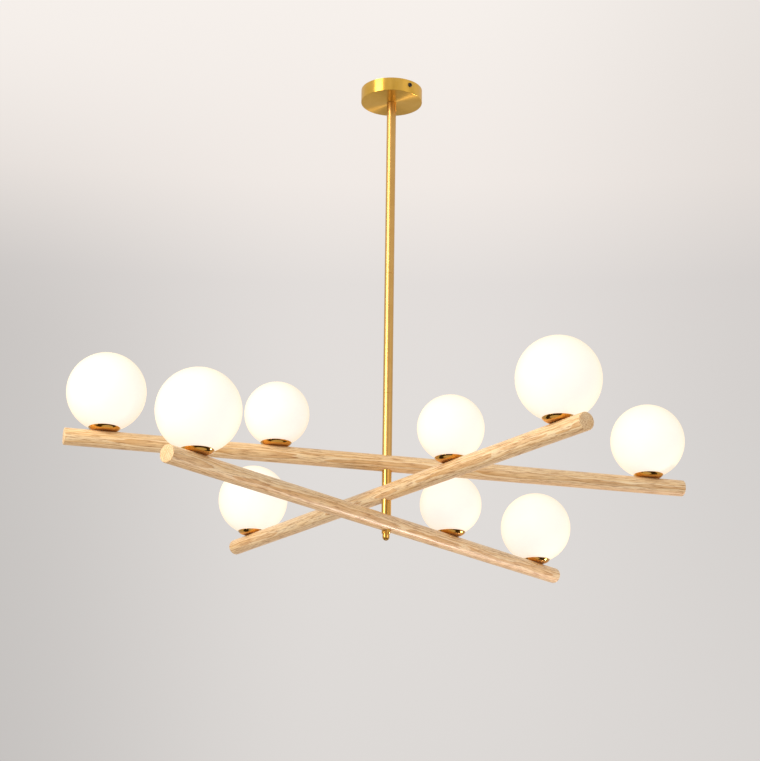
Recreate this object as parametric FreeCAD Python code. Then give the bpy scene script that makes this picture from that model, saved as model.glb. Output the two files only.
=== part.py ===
import FreeCAD, Part
import os
from math import cos, hypot, radians, sin, sqrt, tan

# Orb chandelier: three round oak bars swivel on one brass stem and carry nine opal glass globes.
# Sizes are in millimetres. The origin is the centre of the ceiling plane over the canopy, with +Z up,
# +X to the right and +Y away from a viewer in front.

# ---- driving dimensions ----

# canopy and the ceiling plate it covers
canopy_diameter = 100.0
canopy_depth = 22.0
canopy_wall = 1.2
canopy_edge_radius = 0.8
ceiling_gap = 0.5
plate_thickness = 2.0
plate_margin = 6.0
plate_boss_diameter = 20.0
plate_boss_height = 6.0
ceiling_slot_spacing = 60.0
ceiling_slot_width = 5.0
ceiling_slot_length = 12.0

# ears of the plate and the two screws that hold the canopy on them
side_screw_azimuth = -54.0
side_screw_height = 13.5
side_screw_diameter = 4.0
side_screw_length = 7.0
side_screw_head_diameter = 7.0
side_screw_head_height = 2.0
side_screw_socket = 2.2
ear_width = 14.0
ear_below_screw = 5.0
ear_clearance = 0.2

# threaded brass tube that hangs the stem, joins the rods and ties the hub
thread_diameter = 10.0
thread_bore = 7.0
thread_clearance = 0.05
nipple_engagement = 15.0
coupling_length = 30.0
tie_engagement = 20.0
locknut_across_flats = 17.0
locknut_height = 4.5

# stem
rod_diameter = 15.0
upper_rod_length = 310.0
middle_rod_length = 200.0
lower_rod_length = 102.0
rod_edge_chamfer = 0.35
rod_hole_clearance = 0.4

# bars
bar_length = 1000.0
bar_diameter = 26.0
bar_end_rounding = 2.0
bar_spacing = 47.0
upper_bar_turn = 16.0
middle_bar_turn = -58.0
lower_bar_turn = 54.0
wire_channel_diameter = 8.0
running_clearance = 0.1
seat_clearance = 0.4
seat_margin = 0.2
washer_thickness = 0.5
largest_swing = 25.0

# finial
finial_flange_diameter = 13.5
finial_flange_height = 6.5
finial_barrel_diameter = 11.0
finial_length = 17.5
finial_neck_height = 0.8
finial_neck_depth = 0.5
finial_stud_length = 5.0
finial_edge_rounding = 0.4

# lights
outer_light_inset = 60.0
inner_light_offset = 177.0
large_globe_diameter = 120.0
small_globe_diameter = 100.0
glass_thickness = 2.0
mouth_diameter = 23.6
mouth_wall = 2.2
mouth_collar_height = 10.0
mouth_drop = 2.0
dish_base_diameter = 30.0
dish_rim_diameter = 48.0
dish_wall = 1.0
dish_flank_bulge = 1.3
dish_lip_rounding = 0.3
globe_gap = 0.35
flat_depth = 0.5

# lamp holders and lamps
holder_height = 24.0
holder_skirt_height = 9.0
holder_body_diameter = 20.0
holder_thread_depth = 6.0
holder_chamber_diameter = 8.0
holder_chamber_depth = 12.0
holder_edge_rounding = 0.8
pin_spacing = 9.0
pin_diameter = 1.6
pin_length = 8.0
pin_hole_diameter = 2.4
pin_hole_spare = 1.0
lamp_base_diameter = 15.0
lamp_base_height = 11.0
lamp_diameter = 16.0
lamp_length = 48.0

# wiring
lead_diameter = 2.4
lead_clearance = 0.3
lead_bend_radius = 5.0
riser_offset = 1.6
wire_exit_diameter = 7.0
wire_exit_drop = 4.5
stem_wire_circle_radius = 1.8
stem_lead_bend_radius = 3.0
stem_lead_rise = 4.0
stem_lead_places = (-60.0, 180.0, 60.0)
terminal_azimuth = 65.0
terminal_block_length = 27.0
terminal_block_width = 13.0
terminal_block_height = 13.0
terminal_block_distance = 30.0
terminal_pitch = 8.0
terminal_bore_diameter = 3.4
clamp_screw_diameter = 3.0
clamp_screw_length = 4.0
clamp_screw_offset = 3.5
fixing_screw_diameter = 2.5
fixing_screw_head_diameter = 4.5
fixing_screw_head_height = 1.8
earth_screw_azimuth = -115.0
earth_screw_distance = 30.0
earth_screw_diameter = 4.0
earth_screw_length = 7.0
earth_screw_head_diameter = 8.0
earth_screw_head_height = 3.0
screw_slot_width = 0.8
screw_slot_depth = 1.0

# ---- sizes that follow ----

canopy_radius = canopy_diameter / 2
canopy_inner_radius = canopy_radius - canopy_wall
canopy_top = -ceiling_gap
canopy_bottom = canopy_top - canopy_depth
canopy_floor = canopy_bottom + canopy_wall
side_screw_level = canopy_bottom + side_screw_height
plate_radius = canopy_inner_radius - plate_margin
plate_bottom = -plate_thickness
boss_bottom = plate_bottom - plate_boss_height
ear_face = sqrt((canopy_inner_radius - ear_clearance) ** 2 - (ear_width / 2) ** 2)
ear_bottom = side_screw_level - ear_below_screw

thread_radius = thread_diameter / 2
bore_radius = thread_bore / 2
tapped_radius = thread_radius + thread_clearance
rod_radius = rod_diameter / 2
upper_rod_top = boss_bottom - locknut_height
middle_rod_top = upper_rod_top - upper_rod_length
lower_rod_top = middle_rod_top - middle_rod_length
lower_rod_bottom = lower_rod_top - lower_rod_length

bar_radius = bar_diameter / 2
channel_radius = wire_channel_diameter / 2
seat_radius = rod_radius + seat_clearance
seat_level = sqrt(bar_radius ** 2 - seat_radius ** 2) - seat_margin
upper_bar_level = lower_rod_bottom - washer_thickness - seat_level
spacer_length = bar_spacing - 2 * seat_level - 2 * washer_thickness
lead_radius = lead_diameter / 2
lead_level = -(channel_radius - lead_radius - lead_clearance)
window_width = 2 * (thread_radius * sin(radians(largest_swing)) + lead_radius + lead_clearance)
lead_start = stem_wire_circle_radius + lead_radius + lead_clearance

outer_light_offset = bar_length / 2 - outer_light_inset
light_seat = bar_radius - flat_depth
dish_floor = light_seat + dish_wall
dish_base_radius = dish_base_diameter / 2
dish_rim_radius = dish_rim_diameter / 2
mouth_radius = mouth_diameter / 2
collar_radius = mouth_radius + mouth_wall
holder_top = dish_floor + holder_height
holder_skirt_radius = mouth_radius - lead_clearance
nipple_bottom = channel_radius + lead_clearance
nipple_top = dish_floor + holder_thread_depth

# Name, steps below the upper bar, turn from +X, side of the inner light, names of the two end lights
bars = [
    ("upper", 0, upper_bar_turn, -1, "left", "right"),
    ("middle", 1, middle_bar_turn, 1, "back", "front"),
    ("lower", 2, lower_bar_turn, 1, "front", "back"),
]

same_place = 1e-6
origin = FreeCAD.Vector(0, 0, 0)
up = FreeCAD.Vector(0, 0, 1)
along = FreeCAD.Vector(1, 0, 0)


# ---- helpers ----

def point(x, y, z):
    return FreeCAD.Vector(x, y, z)


def cylinder(radius, low, high, x=0.0, y=0.0):
    return Part.makeCylinder(radius, high - low, point(x, y, low), up)


def tube(outer_radius, inner_radius, low, high):
    return cylinder(outer_radius, low, high).cut(cylinder(inner_radius, low, high))


def block(x_low, x_high, width, low, high):
    """A box centred on the X axis."""
    return Part.makeBox(x_high - x_low, width, high - low, point(x_low, -width / 2, low))


def turned(edges):
    """A solid turned about the Z axis from a closed outline in the XZ plane."""
    return Part.Face(Part.Wire(edges)).revolve(origin, up, 360)


def outline(corners):
    """Straight edges through (radius, height) corners, closed back to the first."""
    ends = corners[1:] + corners[:1]
    return [line(start, end) for start, end in zip(corners, ends)]


def line(start, end):
    return Part.LineSegment(point(start[0], 0, start[1]), point(end[0], 0, end[1])).toShape()


def arc(start, middle, end):
    points = [point(radius, 0, height) for radius, height in (start, middle, end)]
    return Part.Arc(*points).toShape()


def circles_at(shape, height, radius):
    """Edges of a turned shape that circle the Z axis at this height and radius."""
    found = []
    for edge in shape.Edges:
        if edge.Degenerated or not isinstance(edge.Curve, Part.Circle):
            continue
        same_height = abs(edge.Curve.Center.z - height) < same_place
        if same_height and abs(edge.Curve.Radius - radius) < same_place:
            found.append(edge)
    return found


def rounded(shape, size, *circles):
    edges = [edge for height, radius in circles for edge in circles_at(shape, height, radius)]
    return shape.makeFillet(size, edges)


def chamfered(shape, size, *circles):
    edges = [edge for height, radius in circles for edge in circles_at(shape, height, radius)]
    return shape.makeChamfer(size, edges)


def hexagon(across_flats, low, high):
    """A six-sided prism about the Z axis."""
    corner_radius = across_flats / 2 / cos(radians(30))
    corners = [point(corner_radius * cos(radians(60 * step)), corner_radius * sin(radians(60 * step)), low)
               for step in range(7)]
    return Part.Face(Part.makePolygon(corners)).extrude(up * (high - low))


def turned_by(shape, degrees):
    moved = shape.copy()
    moved.rotate(origin, up, degrees)
    return moved


def moved_by(shape, x=0.0, y=0.0, z=0.0):
    moved = shape.copy()
    moved.translate(point(x, y, z))
    return moved


def on_x_axis(shape):
    """Lays a shape that stands up the Z axis along the X axis."""
    laid = shape.copy()
    laid.rotate(origin, point(0, 1, 0), 90)
    return laid


def placed(shape, steps_down, turn, offset=0.0):
    """Takes a bar's piece from the X axis to its offset along the bar, then to the bar's turn and level."""
    return turned_by(moved_by(shape, x=offset, z=bar_level(steps_down)), turn)


def wire(corners, radius, bend_radius):
    """A round lead along straight runs, with a tangent arc at each corner."""
    edges = []
    start = corners[0]
    for corner, following in zip(corners[1:-1], corners[2:]):
        before = (corner - start).normalize()
        after = (following - corner).normalize()
        half_turn = before.getAngle(after) / 2
        reach = bend_radius * tan(half_turn)
        middle = corner + (after - before).normalize() * (bend_radius / cos(half_turn) - bend_radius)
        bend_start = corner - before * reach
        bend_end = corner + after * reach
        edges.append(Part.LineSegment(start, bend_start).toShape())
        edges.append(Part.Arc(bend_start, middle, bend_end).toShape())
        start = bend_end
    edges.append(Part.LineSegment(start, corners[-1]).toShape())
    section = Part.Wire(Part.Circle(corners[0], corners[1] - corners[0], radius).toShape())
    return Part.Wire(edges).makePipeShell([section], True, False)


def save(node, *solids):
    shape = solids[0] if len(solids) == 1 else Part.makeCompound(solids)
    shape.exportStep("parts/" + node + ".step")


# ---- ceiling plate, canopy and terminals ----

def ceiling_plate():
    """Pressed disc with two bent-down ears, a tapped centre boss and two slots for ceiling screws."""
    plate = cylinder(plate_radius, plate_bottom, 0)
    boss = cylinder(plate_boss_diameter / 2, boss_bottom, plate_bottom)
    tongue = block(0, ear_face, ear_width, plate_bottom, 0)
    ear = block(ear_face - plate_thickness, ear_face, ear_width, ear_bottom, plate_bottom)
    tapped_side_hole = on_x_axis(cylinder(side_screw_diameter / 2 + thread_clearance, 0, canopy_radius))
    ear = ear.cut(moved_by(tapped_side_hole, z=side_screw_level))
    arm = tongue.fuse(ear)
    arms = [turned_by(arm, side_screw_azimuth + half_turn) for half_turn in (0, 180)]
    plate = plate.fuse([boss] + arms).removeSplitter()
    plate = plate.cut(cylinder(tapped_radius, boss_bottom, 0))
    for side in (-1, 1):
        plate = plate.cut(moved_by(ceiling_slot(), x=side * ceiling_slot_spacing / 2))
    for hole in fixing_holes():
        plate = plate.cut(hole)
    return plate.cut(turned_by(earth_hole(), earth_screw_azimuth))


def ceiling_slot():
    end = (ceiling_slot_length - ceiling_slot_width) / 2
    straight = block(-end, end, ceiling_slot_width, plate_bottom, 0)
    rounds = [cylinder(ceiling_slot_width / 2, plate_bottom, 0, x) for x in (-end, end)]
    return straight.fuse(rounds)


def canopy():
    """Spun brass cup, open towards the ceiling, that slides on the stem and screws to the ears."""
    rod_hole_radius = rod_radius + rod_hole_clearance
    cup = turned(outline([
        (rod_hole_radius, canopy_bottom),
        (canopy_radius, canopy_bottom),
        (canopy_radius, canopy_top),
        (canopy_inner_radius, canopy_top),
        (canopy_inner_radius, canopy_floor),
        (rod_hole_radius, canopy_floor),
    ]))
    cup = rounded(cup, canopy_edge_radius, (canopy_bottom, canopy_radius))
    across = on_x_axis(cylinder(side_screw_diameter / 2 + thread_clearance, -canopy_radius, canopy_radius))
    return cup.cut(turned_by(moved_by(across, z=side_screw_level), side_screw_azimuth))


def side_screw():
    """Button-head screw along the X axis, its head on the canopy's wall."""
    head_top = canopy_radius + side_screw_head_height
    shank = cylinder(side_screw_diameter / 2, canopy_radius - side_screw_length, canopy_radius)
    head = cylinder(side_screw_head_diameter / 2, canopy_radius, head_top)
    head = rounded(head, side_screw_head_height / 2, (head_top, side_screw_head_diameter / 2))
    socket = hexagon(side_screw_socket, head_top - side_screw_head_height / 2, head_top)
    return moved_by(on_x_axis(shank.fuse(head).cut(socket)), z=side_screw_level)


def slotted_screw(diameter, tip, head_diameter, head_height, head_bottom):
    """Screw with its head down: the shank runs up from the head to its tip."""
    screw = cylinder(diameter / 2, head_bottom, tip)
    screw = screw.fuse(cylinder(head_diameter / 2, head_bottom, head_bottom + head_height))
    return screw.cut(block(-head_diameter, head_diameter, screw_slot_width, head_bottom,
                           head_bottom + screw_slot_depth))


def earth_hole():
    return cylinder(earth_screw_diameter / 2 + thread_clearance, plate_bottom, 0, earth_screw_distance)


def earth_screw():
    head_bottom = canopy_top - earth_screw_length - earth_screw_head_height
    screw = slotted_screw(earth_screw_diameter, canopy_top, earth_screw_head_diameter,
                          earth_screw_head_height, head_bottom)
    return turned_by(moved_by(screw, x=earth_screw_distance), earth_screw_azimuth)


terminal_bottom = plate_bottom - terminal_block_height
terminal_level = plate_bottom - terminal_block_height / 2
terminal_rows = (-terminal_pitch, 0.0, terminal_pitch)
terminal_near_side = terminal_block_distance - terminal_block_width / 2
terminal_far_side = terminal_block_distance + terminal_block_width / 2


def at_terminals(shape, x=0.0, y=0.0):
    return turned_by(moved_by(shape, x=x, y=y), terminal_azimuth)


def fixing_places():
    return [(terminal_block_distance, side * terminal_pitch / 2) for side in (-1, 1)]


def fixing_holes():
    hole = cylinder(fixing_screw_diameter / 2 + thread_clearance, terminal_bottom, 0)
    return [at_terminals(hole, x, y) for x, y in fixing_places()]


def clamp_places():
    return [(terminal_block_distance + side * clamp_screw_offset, row)
            for row in terminal_rows for side in (-1, 1)]


def terminal_block():
    """Three-way screw terminal under the ceiling plate, its ways pointing at the stem."""
    body = block(terminal_near_side, terminal_far_side, terminal_block_length, terminal_bottom, plate_bottom)
    way = on_x_axis(cylinder(terminal_bore_diameter / 2, terminal_near_side, terminal_far_side))
    clamp_hole = cylinder(clamp_screw_diameter / 2 + thread_clearance, terminal_bottom, terminal_level)
    cuts = [moved_by(way, y=row, z=terminal_level) for row in terminal_rows]
    cuts += [moved_by(clamp_hole, x, y) for x, y in clamp_places()]
    return turned_by(body.cut(cuts), terminal_azimuth).cut(fixing_holes())


def clamp_screws():
    top = terminal_level - lead_radius - thread_clearance
    screw = cylinder(clamp_screw_diameter / 2, top - clamp_screw_length, top)
    slot_top = top - clamp_screw_length + screw_slot_depth
    slot = block(-clamp_screw_diameter, clamp_screw_diameter, screw_slot_width, top - clamp_screw_length, slot_top)
    return [at_terminals(screw.cut(slot), x, y) for x, y in clamp_places()]


def fixing_screws():
    screw = slotted_screw(fixing_screw_diameter, canopy_top, fixing_screw_head_diameter,
                          fixing_screw_head_height, terminal_bottom - fixing_screw_head_height)
    return [at_terminals(screw, x, y) for x, y in fixing_places()]


# ---- stem ----

def wire_exit():
    """The hole through rod and nipple, inside the canopy, where the leads turn to the terminals."""
    hole = on_x_axis(cylinder(wire_exit_diameter / 2, 0, rod_radius + running_clearance))
    return turned_by(moved_by(hole, z=upper_rod_top - wire_exit_drop), terminal_azimuth)


def ceiling_nipple():
    nipple = tube(thread_radius, bore_radius, upper_rod_top - nipple_engagement, canopy_top)
    return nipple.cut(wire_exit())


def ceiling_locknut():
    nut = hexagon(locknut_across_flats, upper_rod_top, boss_bottom)
    return nut.cut(cylinder(tapped_radius, upper_rod_top, boss_bottom))


def rod(bottom, top):
    pipe = tube(rod_radius, tapped_radius, bottom, top)
    return chamfered(pipe, rod_edge_chamfer, (bottom, rod_radius), (top, rod_radius))


def coupling(seam):
    return tube(thread_radius, bore_radius, seam - coupling_length / 2, seam + coupling_length / 2)


def bar_level(steps_down):
    return upper_bar_level - steps_down * bar_spacing


hub_bottom = bar_level(len(bars) - 1) - seat_level - washer_thickness


def tie_tube():
    """Threaded tube that clamps bars and spacers, with a window for the leads at each bar."""
    tie = tube(thread_radius, bore_radius, hub_bottom + running_clearance, lower_rod_bottom + tie_engagement)
    for _, steps_down, turn, *_ in bars:
        window = block(-rod_radius, rod_radius, window_width, -channel_radius, channel_radius)
        tie = tie.cut(turned_by(moved_by(window, z=bar_level(steps_down)), turn))
    return tie


def spacer(upper_bar_steps):
    top = bar_level(upper_bar_steps) - seat_level - washer_thickness
    return tube(rod_radius, tapped_radius, top - spacer_length, top)


def swivel_washers():
    """Nylon washers on the flat seats above and below each bar."""
    washer = tube(rod_radius, thread_radius + running_clearance, 0, washer_thickness)
    washers = []
    for _, steps_down, *_ in bars:
        level = bar_level(steps_down)
        washers.append(moved_by(washer, z=level + seat_level))
        washers.append(moved_by(washer, z=level - seat_level - washer_thickness))
    return washers


def finial():
    """Domed brass nut-end: a flange on the lowest seat, a barrel, and a stud into the tie tube."""
    flange_radius = finial_flange_diameter / 2
    barrel_radius = finial_barrel_diameter / 2
    neck_radius = barrel_radius - finial_neck_depth
    stud_radius = bore_radius - thread_clearance
    dome_start = barrel_radius - finial_length
    shoulder = (barrel_radius * cos(radians(45)), dome_start - barrel_radius * sin(radians(45)))
    corners = [
        (0, finial_stud_length),
        (stud_radius, finial_stud_length),
        (stud_radius, 0),
        (flange_radius, 0),
        (flange_radius, -finial_flange_height),
        (neck_radius, -finial_flange_height),
        (neck_radius, -finial_flange_height - finial_neck_height),
        (barrel_radius, -finial_flange_height - finial_neck_height),
        (barrel_radius, dome_start),
    ]
    edges = [line(start, end) for start, end in zip(corners, corners[1:])]
    edges.append(arc(corners[-1], shoulder, (0, -finial_length)))
    edges.append(line((0, -finial_length), corners[0]))
    knob = rounded(turned(edges), finial_edge_rounding, (-finial_flange_height, flange_radius))
    return moved_by(knob, z=hub_bottom)


def stem_leads():
    """Three leads up the stem, out of the wire exit and into the terminals."""
    exit_level = upper_rod_top - wire_exit_drop
    lowest = bar_level(len(bars) - 1) + lead_level - lead_radius
    leads = []
    for row, place in zip(terminal_rows, stem_lead_places):
        x = stem_wire_circle_radius * cos(radians(place))
        y = stem_wire_circle_radius * sin(radians(place))
        corners = [
            point(x, y, lowest),
            point(x, y, exit_level - x),
            point(rod_radius + stem_lead_rise, y, exit_level - x),
            point(terminal_near_side - stem_lead_rise, row, terminal_level),
            point(terminal_block_distance, row, terminal_level),
        ]
        leads.append(turned_by(wire(corners, lead_radius, stem_lead_bend_radius), terminal_azimuth))
    return leads


# ---- bars: made along the X axis at the origin, then turned and lowered into place ----

def lights(side, end_names):
    """Name, offset along the bar and globe diameter of a bar's three lights."""
    return [
        (end_names[0], -outer_light_offset, large_globe_diameter),
        ("inner", side * inner_light_offset, small_globe_diameter),
        (end_names[1], outer_light_offset, large_globe_diameter),
    ]


def bar(offsets):
    """Round oak bar with a lead channel, a hub bore between flat seats, and a flat and hole per light."""
    wood = Part.makeCylinder(bar_radius, bar_length, point(-bar_length / 2, 0, 0), along)
    ends = [edge for edge in wood.Edges if isinstance(edge.Curve, Part.Circle)]
    wood = wood.makeFillet(bar_end_rounding, ends)
    cuts = [
        on_x_axis(cylinder(channel_radius, -outer_light_offset, outer_light_offset)),
        cylinder(thread_radius + running_clearance, -bar_radius, bar_radius),
        cylinder(seat_radius, seat_level, bar_radius),
        cylinder(seat_radius, -bar_radius, -seat_level),
    ]
    for offset in offsets:
        cuts.append(cylinder(dish_rim_radius, light_seat, bar_radius, offset))
        cuts.append(cylinder(tapped_radius, 0, bar_radius, offset))
    return wood.cut(cuts)


def bar_leads(offsets):
    """One lead to the first light each way, and one more where a second light follows on that side."""
    riser_top = dish_floor + holder_chamber_depth - lead_clearance
    leads = []
    for direction in (-1, 1):
        stops = sorted(abs(offset) for offset in offsets if offset * direction > 0)
        start = [point(lead_start, 0, lead_level)]
        for stop in stops:
            arrival = stop - riser_offset
            route = start + [point(arrival, 0, lead_level), point(arrival, 0, riser_top)]
            lead = wire(route, lead_radius, lead_bend_radius)
            leads.append(turned_by(lead, 0 if direction > 0 else 180))
            departure = stop + riser_offset
            start = [point(departure, 0, riser_top), point(departure, 0, lead_level)]
    return leads


# ---- lights: made about the Z axis with the bar's centre line at the origin ----

def globe_centre(diameter):
    return dish_floor + mouth_drop + sqrt((diameter / 2) ** 2 - collar_radius ** 2)


def globe_underside(diameter, radius):
    return globe_centre(diameter) - sqrt((diameter / 2) ** 2 - radius ** 2)


dish_lip_radius = dish_rim_radius - dish_wall
dish_rim_level = min(globe_underside(large_globe_diameter, dish_lip_radius),
                     globe_underside(small_globe_diameter, dish_lip_radius)) - globe_gap


def dish():
    """Shallow spun brass cup under a globe: flat base, rounded flank, plain lip."""
    run = dish_rim_radius - dish_base_radius
    rise = dish_rim_level - light_seat
    slope = hypot(run, rise)
    middle_radius = (dish_rim_radius + dish_base_radius) / 2 + dish_flank_bulge * rise / slope
    middle_level = (dish_rim_level + light_seat) / 2 - dish_flank_bulge * run / slope
    inner_middle = (middle_radius - dish_wall * rise / slope, middle_level + dish_wall * run / slope)
    foot = (dish_base_radius, light_seat)
    rim = (dish_rim_radius, dish_rim_level)
    lip = (dish_lip_radius, dish_rim_level)
    inner_foot = (dish_base_radius - dish_wall * rise / slope, dish_floor)
    bowl = turned([
        line((tapped_radius, light_seat), foot),
        arc(foot, (middle_radius, middle_level), rim),
        line(rim, lip),
        arc(lip, inner_middle, inner_foot),
        line(inner_foot, (tapped_radius, dish_floor)),
        line((tapped_radius, dish_floor), (tapped_radius, light_seat)),
    ])
    return rounded(bowl, dish_lip_rounding, (dish_rim_level, dish_rim_radius), (dish_rim_level, dish_lip_radius))


def holder_nipple():
    return tube(thread_radius, bore_radius, nipple_bottom, nipple_top)


def lamp_holder():
    """Ceramic two-pin holder: threaded skirt for the globe's mouth, nipple thread and wire chamber below."""
    body_radius = holder_body_diameter / 2
    chamber_radius = holder_chamber_diameter / 2
    chamber_top = dish_floor + holder_chamber_depth
    skirt_top = dish_floor + holder_skirt_height
    body = turned(outline([
        (tapped_radius, dish_floor),
        (holder_skirt_radius, dish_floor),
        (holder_skirt_radius, skirt_top),
        (body_radius, skirt_top),
        (body_radius, holder_top),
        (0, holder_top),
        (0, chamber_top),
        (chamber_radius, chamber_top),
        (chamber_radius, nipple_top),
        (tapped_radius, nipple_top),
    ]))
    body = rounded(body, holder_edge_rounding, (skirt_top, holder_skirt_radius), (holder_top, body_radius))
    hole = cylinder(pin_hole_diameter / 2, holder_top - pin_length - pin_hole_spare, holder_top)
    return body.cut([moved_by(hole, y=side * pin_spacing / 2) for side in (-1, 1)])


def lamp():
    """Two-pin capsule lamp: straight base, frosted capsule with a round top."""
    base_radius = lamp_base_diameter / 2
    radius = lamp_diameter / 2
    base_top = holder_top + lamp_base_height
    tip = holder_top + lamp_length
    dome_start = tip - radius
    shoulder = (radius * cos(radians(45)), dome_start + radius * sin(radians(45)))
    corners = [
        (0, holder_top),
        (base_radius, holder_top),
        (base_radius, base_top),
        (radius, base_top),
        (radius, dome_start),
    ]
    edges = [line(start, end) for start, end in zip(corners, corners[1:])]
    edges.append(arc(corners[-1], shoulder, (0, tip)))
    edges.append(line((0, tip), corners[0]))
    pin = cylinder(pin_diameter / 2, holder_top - pin_length, holder_top)
    return turned(edges).fuse([moved_by(pin, y=side * pin_spacing / 2) for side in (-1, 1)])


def globe(diameter):
    """Blown opal shell whose open mouth has a straight collar, threaded inside for the holder's skirt."""
    outer_radius = diameter / 2
    inner_radius = outer_radius - glass_thickness
    centre = globe_centre(diameter)
    mouth_top = dish_floor + mouth_drop
    collar_top = dish_floor + mouth_collar_height
    inner_start = centre - sqrt(inner_radius ** 2 - collar_radius ** 2)
    return turned([
        line((collar_radius, dish_floor), (collar_radius, mouth_top)),
        arc((collar_radius, mouth_top), (outer_radius, centre), (0, centre + outer_radius)),
        line((0, centre + outer_radius), (0, centre + inner_radius)),
        arc((0, centre + inner_radius), (inner_radius, centre), (collar_radius, inner_start)),
        line((collar_radius, inner_start), (collar_radius, collar_top)),
        line((collar_radius, collar_top), (mouth_radius, collar_top)),
        line((mouth_radius, collar_top), (mouth_radius, dish_floor)),
        line((mouth_radius, dish_floor), (collar_radius, dish_floor)),
    ])


# ---- every piece, in its own file ----

os.makedirs("parts", exist_ok=True)

save("ceiling_plate", ceiling_plate())
save("canopy", canopy())
save("canopy_side_screws", *[turned_by(side_screw(), side_screw_azimuth + half_turn) for half_turn in (0, 180)])
save("ceiling_nipple", ceiling_nipple())
save("ceiling_locknut", ceiling_locknut())
save("terminal_block", terminal_block())
save("terminal_clamp_screws", *clamp_screws())
save("terminal_fixing_screws", *fixing_screws())
save("earth_screw", earth_screw())

save("upper_rod", rod(middle_rod_top, upper_rod_top).cut(wire_exit()))
save("middle_rod", rod(lower_rod_top, middle_rod_top))
save("lower_rod", rod(lower_rod_bottom, lower_rod_top))
save("rod_couplings", coupling(middle_rod_top), coupling(lower_rod_top))
save("tie_tube", tie_tube())
save("upper_spacer", spacer(0))
save("lower_spacer", spacer(1))
save("swivel_washers", *swivel_washers())
save("finial", finial())
save("stem_leads", *stem_leads())

for name, steps_down, turn, inner_side, *end_names in bars:
    bar_lights = lights(inner_side, end_names)
    offsets = [offset for _, offset, _ in bar_lights]
    nipples = [placed(holder_nipple(), steps_down, turn, offset) for offset in offsets]
    holders = [placed(lamp_holder(), steps_down, turn, offset) for offset in offsets]
    save(name + "_bar", placed(bar(offsets), steps_down, turn))
    save(name + "_bar_leads", *[placed(lead, steps_down, turn) for lead in bar_leads(offsets)])
    save(name + "_bar_nipples", *nipples)
    save(name + "_bar_lamp_holders", *holders)
    for light, offset, diameter in bar_lights:
        light_name = name + "_" + light
        save(light_name + "_dish", placed(dish(), steps_down, turn, offset))
        save(light_name + "_lamp", placed(lamp(), steps_down, turn, offset))
        save(light_name + "_globe", placed(globe(diameter), steps_down, turn, offset))
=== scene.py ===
from math import asin, atan2, cos, hypot, pi, radians, sin, sqrt

import bpy
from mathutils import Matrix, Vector


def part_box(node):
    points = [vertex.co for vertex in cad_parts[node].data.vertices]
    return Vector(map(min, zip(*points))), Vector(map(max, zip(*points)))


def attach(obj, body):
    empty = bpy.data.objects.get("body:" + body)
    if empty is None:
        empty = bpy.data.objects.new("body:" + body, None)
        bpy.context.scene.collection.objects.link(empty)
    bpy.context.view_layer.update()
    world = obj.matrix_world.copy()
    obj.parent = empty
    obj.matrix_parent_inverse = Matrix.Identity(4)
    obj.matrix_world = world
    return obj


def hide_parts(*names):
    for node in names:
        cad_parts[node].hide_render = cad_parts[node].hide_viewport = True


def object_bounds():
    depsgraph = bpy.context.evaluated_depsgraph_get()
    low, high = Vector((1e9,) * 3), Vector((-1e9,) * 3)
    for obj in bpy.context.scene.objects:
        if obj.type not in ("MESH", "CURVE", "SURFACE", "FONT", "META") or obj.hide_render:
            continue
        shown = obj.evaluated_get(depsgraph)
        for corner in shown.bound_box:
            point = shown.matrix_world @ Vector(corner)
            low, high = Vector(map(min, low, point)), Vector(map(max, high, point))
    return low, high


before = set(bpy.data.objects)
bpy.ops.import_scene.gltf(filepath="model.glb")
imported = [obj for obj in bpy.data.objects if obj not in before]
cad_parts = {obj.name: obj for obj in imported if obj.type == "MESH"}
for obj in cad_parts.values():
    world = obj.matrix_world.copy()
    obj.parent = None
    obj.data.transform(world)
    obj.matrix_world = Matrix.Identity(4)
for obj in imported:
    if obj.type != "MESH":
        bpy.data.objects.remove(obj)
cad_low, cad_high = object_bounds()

# Orb chandelier: oak bars crossed on a brass stem, with lit opal globes in brass dishes. Metres.

# ---- sizes ----

rod_radius = 0.0075
rod_bore_radius = 0.00505
rod_edge_chamfer = 0.00035
canopy_wall = 0.0012
canopy_edge_radius = 0.0008
canopy_hole_radius = 0.0079
canopy_screw_hole_radius = 0.00205
# the line through the canopy's two side screws, in degrees from +X
canopy_screw_turn = -54
bar_radius = 0.013
# 0.1 mm short of the solid, whose round edge is faceted
bar_length = 0.9999
bar_end_rounding = 0.002
hub_bore_radius = 0.0051
hub_seat_radius = 0.0079
hub_seat_level = 0.010124
light_seat_level = 0.0125
holder_top_level = 0.0375
nipple_hole_radius = 0.00505
dish_base_radius = 0.015
dish_rim_radius = 0.024
dish_wall = 0.001
dish_flank_bulge = 0.0013
dish_lip_rounding = 0.0003
glass_thickness = 0.002
globe_collar_radius = 0.014
globe_collar_height = 0.002
# keeps the round glass within the box of the solids' facets
facet_allowance = 0.00002
finial_spigot_radius = 0.0033
finial_spigot_height = 0.005
finial_flange_radius = 0.00675
finial_flange_height = 0.0065
finial_neck_radius = 0.005
finial_neck_height = 0.0008
finial_barrel_radius = 0.0055
finial_rounding = 0.0004
lamp_base_radius = 0.0075
lamp_base_height = 0.011
lamp_shoulder_height = 0.0005
lamp_radius = 0.008

# fineness of the round shapes
round_sides = 96
canopy_sides = 160
bar_sides = 128
globe_sides = 128
lamp_sides = 48
drill_sides = 32
cutter_sides = 64
arc_steps = 8
dome_step = 10
bar_end_segments = 6
# points nearer than this are one
merge_distance = 1e-7


# ---- places read from the frame ----

bars = {
    "upper": ("left", "inner", "right"),
    "middle": ("back", "inner", "front"),
    "lower": ("front", "inner", "back"),
}


def middle_of(node):
    low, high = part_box(node)
    return (low + high) / 2


def bar_level(bar):
    return middle_of(bar + "_bar").z


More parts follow.
